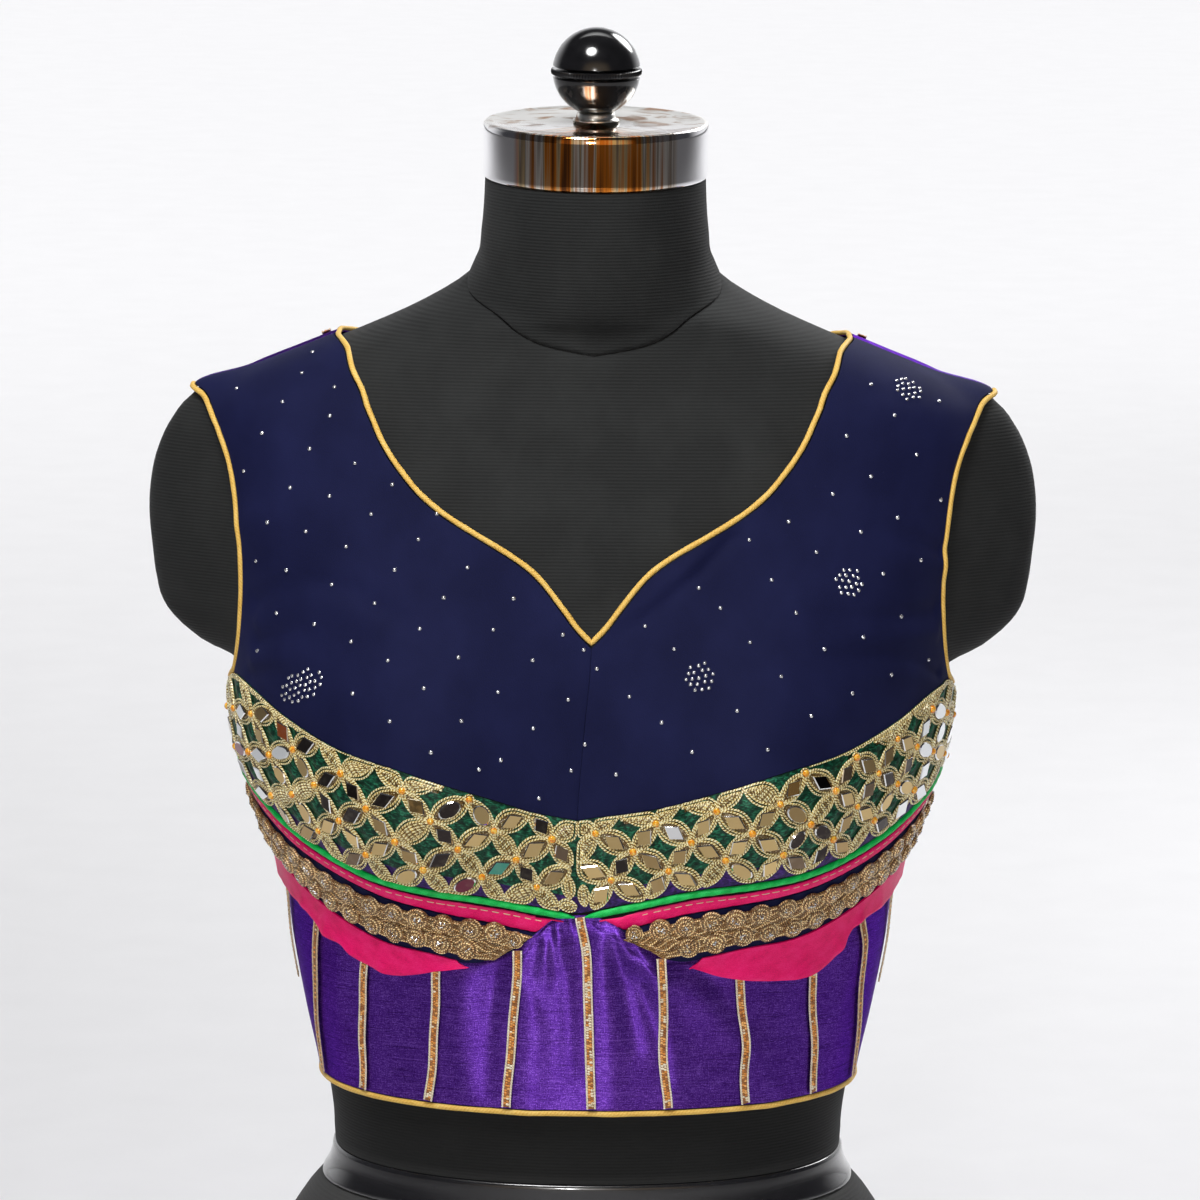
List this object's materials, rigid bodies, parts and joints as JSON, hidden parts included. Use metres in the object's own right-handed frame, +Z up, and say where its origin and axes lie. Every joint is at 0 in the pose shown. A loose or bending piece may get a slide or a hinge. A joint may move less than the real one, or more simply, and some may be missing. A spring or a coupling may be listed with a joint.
{
  "type": "choli blouse on a dress form",
  "caption": "Sleeveless choli blouse with a sweetheart neck, mirror work and a gathered silk midriff, worn by a limbless jersey dress form.",
  "frame": {"origin": "middle of the form's flat base, on the surface that it stands on", "axes": "+Z up, -Y is the front that the wearer's chest faces, +X is the wearer's left"},
  "size_m": [0.4296, 0.2446, 0.7557],
  "materials": {
    "navy_crepe": "matte crepe with scattered silver stones",
    "mirror_work": "gold thread, mirrors and beads on dark green silk",
    "green_cord": "twisted satin cord",
    "magenta_silk": "soft silk sheen",
    "antique_zari": "coiled antique-gold metal thread",
    "purple_silk": "slubby silk sheen",
    "gold_stripe": "gold cord and beads",
    "yellow_piping": "satin bias piping",
    "black_jersey": "fine ribbed jersey, matte",
    "black_plastic": "smoked gloss plastic",
    "chrome": "polished, lightly stained",
    "black_ball": "high gloss"
  },
  "bodies": {
    "root": {"armhole_piping_left": "yellow_piping", "armhole_piping_right": "yellow_piping", "back_stripe_left_1": "gold_stripe", "back_stripe_left_2": "gold_stripe", "back_stripe_left_3": "gold_stripe", "back_stripe_left_4": "gold_stripe", "back_stripe_left_5": "gold_stripe", "back_stripe_right_1": "gold_stripe", "back_stripe_right_2": "gold_stripe", "back_stripe_right_3": "gold_stripe", "back_stripe_right_4": "gold_stripe", "back_stripe_right_5": "gold_stripe", "ball_knob": "black_ball", "form_hip": "black_jersey", "form_torso": "black_jersey", "form_waist_band": "black_plastic", "front_stripe_01": "gold_stripe", "front_stripe_02": "gold_stripe", "front_stripe_03": "gold_stripe", "front_stripe_04": "gold_stripe", "front_stripe_05": "gold_stripe", "front_stripe_06": "gold_stripe", "front_stripe_07": "gold_stripe", "front_stripe_08": "gold_stripe", "front_stripe_09": "gold_stripe", "front_stripe_10": "gold_stripe", "front_stripe_11": "gold_stripe", "green_piping_left": "green_cord", "green_piping_right": "green_cord", "hem_piping": "yellow_piping", "knob_collar": "chrome", "magenta_frill_left": "magenta_silk", "magenta_frill_right": "magenta_silk", "magenta_piping_left": "magenta_silk", "magenta_piping_right": "magenta_silk", "mirror_band_left": "mirror_work", "mirror_band_right": "mirror_work", "navy_front_left": "navy_crepe", "navy_front_right": "navy_crepe", "navy_strip_left": "navy_crepe", "navy_strip_right": "navy_crepe", "neck_cap": "chrome", "neck_piping": "yellow_piping", "silk_back_left": "purple_silk", "silk_back_right": "purple_silk", "silk_midriff": "purple_silk", "zari_lace_left": "antique_zari", "zari_lace_right": "antique_zari"}
  },
  "joints": []
}
